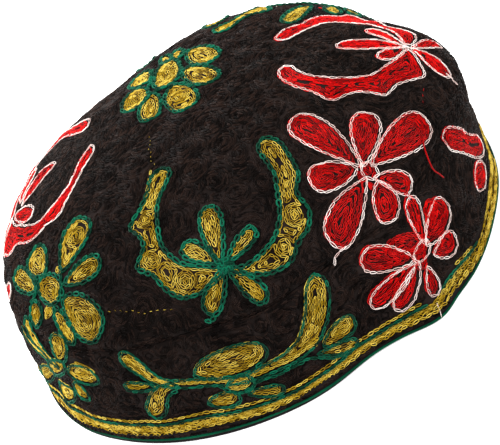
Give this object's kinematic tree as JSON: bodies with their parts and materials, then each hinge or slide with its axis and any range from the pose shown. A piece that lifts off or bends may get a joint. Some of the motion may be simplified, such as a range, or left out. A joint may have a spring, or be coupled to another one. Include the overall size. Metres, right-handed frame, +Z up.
{
  "type": "bukharan skullcap",
  "caption": "Soft domed skullcap with an upright band and a bound rim, open below for the head, embroidered all over with flowers and scrolls.",
  "frame": {"origin": "bottom centre of the bounding box, on the surface the cap rests on", "axes": "+Z up through the crown; -Y towards the front, where the yellow crescent is; +X to the right seen from the front"},
  "size_m": [0.1937, 0.1829, 0.086],
  "materials": {
    "embroidered_cloth": "matt chain-stitched yarn",
    "edge_braid": "matt woven braid"
  },
  "bodies": {
    "root": {"crown": "embroidered_cloth", "band": "embroidered_cloth", "rim_binding": "edge_braid"}
  },
  "joints": []
}
